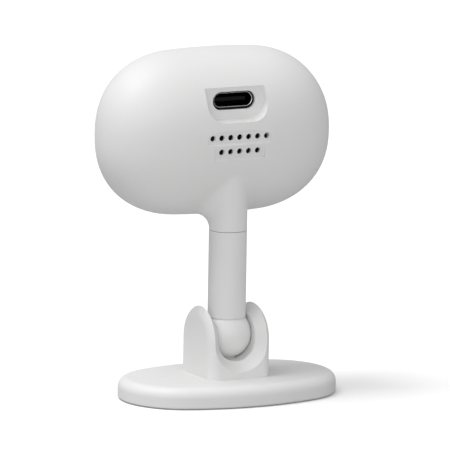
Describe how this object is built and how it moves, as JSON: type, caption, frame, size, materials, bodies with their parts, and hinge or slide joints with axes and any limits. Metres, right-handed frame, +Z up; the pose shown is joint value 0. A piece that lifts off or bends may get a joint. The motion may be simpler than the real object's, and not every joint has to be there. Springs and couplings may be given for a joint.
{
  "type": "security camera",
  "caption": "Oval desk security camera: domed head with speaker holes and charging socket behind, on a swivelling post with a ball joint in an oval foot",
  "frame": {"origin": "on the resting plane under the foot, straight below the centre of the ball and the axis of the post", "axes": "+Z up along the post, the lens looks along -Y, the charging socket and the speaker holes face +Y, +X is across the head"},
  "size_m": [0.0502, 0.03, 0.0695],
  "materials": {
    "shell_plastic": "fine matt grain, off-white",
    "ball_plastic": "smooth satin, off-white",
    "inner_plastic": "black moulded",
    "nylon": "natural acetal, satin",
    "rubber_pad": "soft dark rubber",
    "steel": "zinc plated",
    "can_steel": "tinned",
    "aluminium": "plain sheet",
    "brass_strip": "bare strip",
    "window_black": "smoked, glossy",
    "circuit_board": "green solder mask",
    "circuit_board_black": "black solder mask",
    "chip_black": "moulded epoxy",
    "thermal_gray": "soft filled silicone",
    "led_clear": "clear epoxy",
    "ribbon": "amber polyimide",
    "lens_black": "anodised black",
    "lens_glass": "coated optical glass",
    "speaker_film": "moulded film",
    "mesh_cloth": "woven dust cloth"
  },
  "bodies": {
    "base": {"base_cover": "shell_plastic", "cradle": "shell_plastic", "base_plate": "inner_plastic", "base_weight": "steel", "foot_pad": "rubber_pad", "base_screws": "steel", "cradle_screws": "steel", "friction_pad": "nylon", "disc_spring": "steel"},
    "stem": {"ball_stud": "ball_plastic", "stem_tube": "shell_plastic", "stem_rod": "steel", "swivel_post": "nylon", "swivel_washer": "nylon", "swivel_clip": "steel"},
    "head": {"rear_housing": "shell_plastic", "front_bezel": "shell_plastic", "front_window": "window_black", "main_board": "circuit_board", "led_board": "circuit_board_black", "board_screws": "steel", "led_board_screws": "steel", "main_processor": "chip_black", "thermal_pad": "thermal_gray", "heat_spreader": "aluminium", "wifi_module": "can_steel", "power_inductor": "chip_black", "board_header": "inner_plastic", "antenna": "brass_strip", "infrared_leds": "led_clear", "light_sensor": "led_clear", "status_led": "led_clear", "microphone": "can_steel", "microphone_boot": "rubber_pad", "ribbon_cable": "ribbon", "lens_holder": "inner_plastic", "lens_barrel": "lens_black", "lens_front_element": "lens_glass", "lens_rear_element": "lens_glass", "ir_cut_filter": "lens_glass", "image_sensor": "chip_black", "speaker_frame": "inner_plastic", "speaker_magnet": "steel", "speaker_diaphragm": "speaker_film", "speaker_gasket": "rubber_pad", "speaker_mesh": "mesh_cloth", "usb_c_shell": "can_steel", "usb_c_tongue": "inner_plastic", "usb_board": "circuit_board"}
  },
  "joints": [
    {"name": "stem_tilt", "type": "hinge", "parent": "base", "child": "stem", "pos_m": [0, 0, 0.0124], "axis": [1, 0, 0], "range_deg": [-90, 75]},
    {"name": "head_pan", "type": "hinge", "parent": "stem", "child": "head", "pos_m": [0, 0, 0.0336], "axis": [0, 0, 1], "continuous": true}
  ]
}
